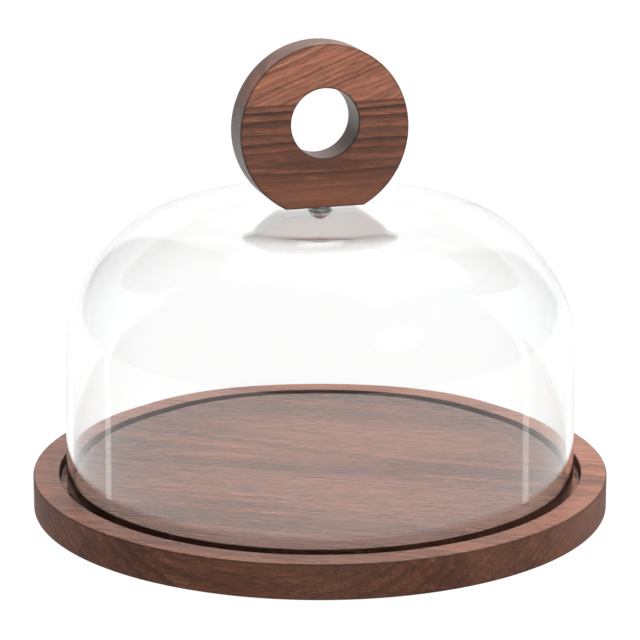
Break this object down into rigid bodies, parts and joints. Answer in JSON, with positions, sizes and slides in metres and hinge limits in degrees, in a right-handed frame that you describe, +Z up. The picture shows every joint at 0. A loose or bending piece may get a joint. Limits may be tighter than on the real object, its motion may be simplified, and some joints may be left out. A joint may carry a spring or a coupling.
{
  "type": "cheese dome",
  "caption": "Round wooden serving board with a ring groove, covered by a lift-off glass bell with a standing wooden ring handle.",
  "frame": {"origin": "centre of the board's underside, on the common axis of board, groove, glass bell and handle screw", "axes": "+Z up; the ring handle's broad faces look along -Y (front) and +Y, its finger hole runs along Y"},
  "size_m": [0.3, 0.3, 0.2429],
  "materials": {
    "walnut_board": "oiled",
    "walnut_handle_dark": "oiled",
    "walnut_handle_light": "oiled",
    "clear_glass": "polished",
    "clear_silicone": "satin",
    "polished_steel": "polished",
    "insert_brass": "plain"
  },
  "bodies": {
    "board": {"serving_board": "walnut_board"},
    "lid": {"glass_dome": "clear_glass", "top_gasket": "clear_silicone", "hole_grommet": "clear_silicone", "steel_washer": "polished_steel"},
    "handle": {"foot_ring": "polished_steel", "handle_screw": "polished_steel", "threaded_insert": "insert_brass", "handle_lower_block": "walnut_handle_dark", "handle_upper_block": "walnut_handle_light"}
  },
  "joints": [
    {"name": "dome_lift", "type": "slide", "parent": "board", "child": "lid", "axis": [0, 0, 1], "range_m": [0, 0.2]},
    {"name": "handle_turn", "type": "hinge", "parent": "lid", "child": "handle", "pos_m": [0, 0, 0.157], "axis": [0, 0, 1], "continuous": true}
  ]
}
